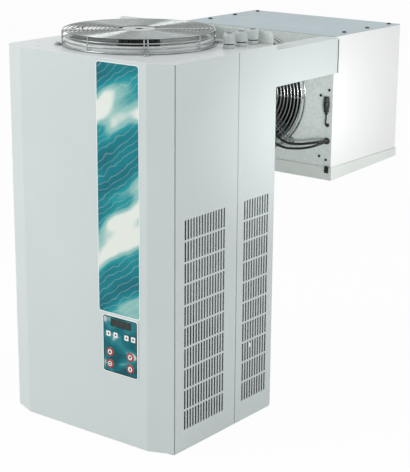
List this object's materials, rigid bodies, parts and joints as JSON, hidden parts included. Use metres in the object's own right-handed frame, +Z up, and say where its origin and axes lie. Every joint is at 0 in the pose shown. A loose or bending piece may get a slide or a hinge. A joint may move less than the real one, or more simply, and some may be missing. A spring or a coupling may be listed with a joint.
{
  "type": "monoblock refrigeration unit",
  "caption": "Straddle monoblock refrigeration unit: louvred machine body with a top fan, a bridge over the room's wall and a hanging evaporator with its fan and drain tray.",
  "frame": {"origin": "centre of the overall box at its lowest level, under the machine body's base", "axes": "+Y from the front face towards the cold room, +X to the right seen from the front, +Z up"},
  "size_m": [0.402, 0.8092, 0.763],
  "materials": {
    "casing_paint": "pale grey-green powder coat, fine satin",
    "top_paint": "pale powder coat, satin",
    "evaporator_paint": "white powder coat, satin",
    "galvanised": "galvanised sheet, dull zinc grain",
    "lid_sheet": "galvanised sheet, bluish and even",
    "tray_sheet": "plain aluminium sheet",
    "guard_wire": "zinc-plated wire, bright",
    "screws": "zinc-plated screws",
    "motor_case": "black motor enamel",
    "blades": "plain aluminium blades",
    "coil_fins": "aluminium fins and copper bends",
    "black_paint": "black gloss enamel",
    "rubber": "black rubber",
    "black_plastic": "black plastic",
    "copper": "bare copper",
    "pipe_foam": "black foam sleeve over copper",
    "box_plastic": "grey plastic",
    "artwork": "teal printed film",
    "control_plastic": "teal printed overlay with a pale edge",
    "circuit": "green circuit board housing",
    "display": "dark window",
    "lamps": "dark red lamp windows",
    "key_plastic": "white caps with a red ring",
    "gland_plastic": "light grey plastic",
    "foam": "rigid foam",
    "cable": "black cable sheath"
  },
  "bodies": {
    "casing": {"base_tray": "galvanised", "front_panel": "casing_paint", "right_side_panel": "casing_paint", "left_side_panel": "casing_paint", "right_rear_panel": "casing_paint", "left_rear_panel": "casing_paint", "back_panel": "galvanised", "top_panel": "top_paint", "fan_collar": "top_paint", "condenser_fan_guard": "guard_wire", "guard_screws": "screws", "condenser_motor": "motor_case", "condenser_shroud": "galvanised", "condenser_coil": "coil_fins", "compressor": "black_paint", "compressor_feet": "rubber", "terminal_cover": "black_plastic", "liquid_receiver": "black_paint", "filter_drier": "copper", "pressure_switch": "black_plastic", "discharge_pipe": "copper", "condensate_pipe": "copper", "receiver_pipe": "copper", "liquid_pipe": "copper", "suction_pipe": "pipe_foam", "electrical_box": "box_plastic", "artwork_strip": "artwork", "control_frame": "control_plastic", "control_board": "circuit", "display_window": "display", "indicator_windows": "lamps", "cable_gland_1": "gland_plastic", "cable_gland_2": "gland_plastic", "cable_gland_3": "gland_plastic", "bridge_floor": "galvanised", "cheek_insulation": "foam", "right_trough_wall": "galvanised", "left_trough_wall": "galvanised", "evaporator_front_wall": "galvanised", "evaporator_right_side": "evaporator_paint", "evaporator_left_side": "evaporator_paint", "evaporator_lid": "lid_sheet", "lid_screws": "screws", "evaporator_coil": "coil_fins", "evaporator_fan_ring": "galvanised", "evaporator_fan_guard": "guard_wire", "evaporator_motor": "motor_case", "drain_tray": "tray_sheet", "tray_clips": "black_plastic", "probe_gland": "black_plastic", "probe_loop": "cable", "cable_grommet": "rubber", "fan_cables": "cable"},
    "condenser_fan": {"condenser_fan": "blades"},
    "evaporator_fan": {"evaporator_fan": "blades"},
    "key_1": {"key_1": "key_plastic"},
    "key_2": {"key_2": "key_plastic"},
    "key_3": {"key_3": "key_plastic"},
    "key_4": {"key_4": "key_plastic"}
  },
  "joints": [
    {"name": "condenser_fan_spin", "type": "hinge", "parent": "casing", "child": "condenser_fan", "pos_m": [-0.008, -0.2294, 0.733], "axis": [0, 0, 1], "continuous": true},
    {"name": "evaporator_fan_spin", "type": "hinge", "parent": "casing", "child": "evaporator_fan", "pos_m": [0, 0.1436, 0.594], "axis": [0, 1, 0], "continuous": true},
    {"name": "key_1_press", "type": "slide", "parent": "casing", "child": "key_1", "axis": [0, 1, 0], "range_m": [0, 0.001], "stiffness_N_per_m": 1200},
    {"name": "key_2_press", "type": "slide", "parent": "casing", "child": "key_2", "axis": [0, 1, 0], "range_m": [0, 0.001], "stiffness_N_per_m": 1200},
    {"name": "key_3_press", "type": "slide", "parent": "casing", "child": "key_3", "axis": [0, 1, 0], "range_m": [0, 0.001], "stiffness_N_per_m": 1200},
    {"name": "key_4_press", "type": "slide", "parent": "casing", "child": "key_4", "axis": [0, 1, 0], "range_m": [0, 0.001], "stiffness_N_per_m": 1200}
  ]
}
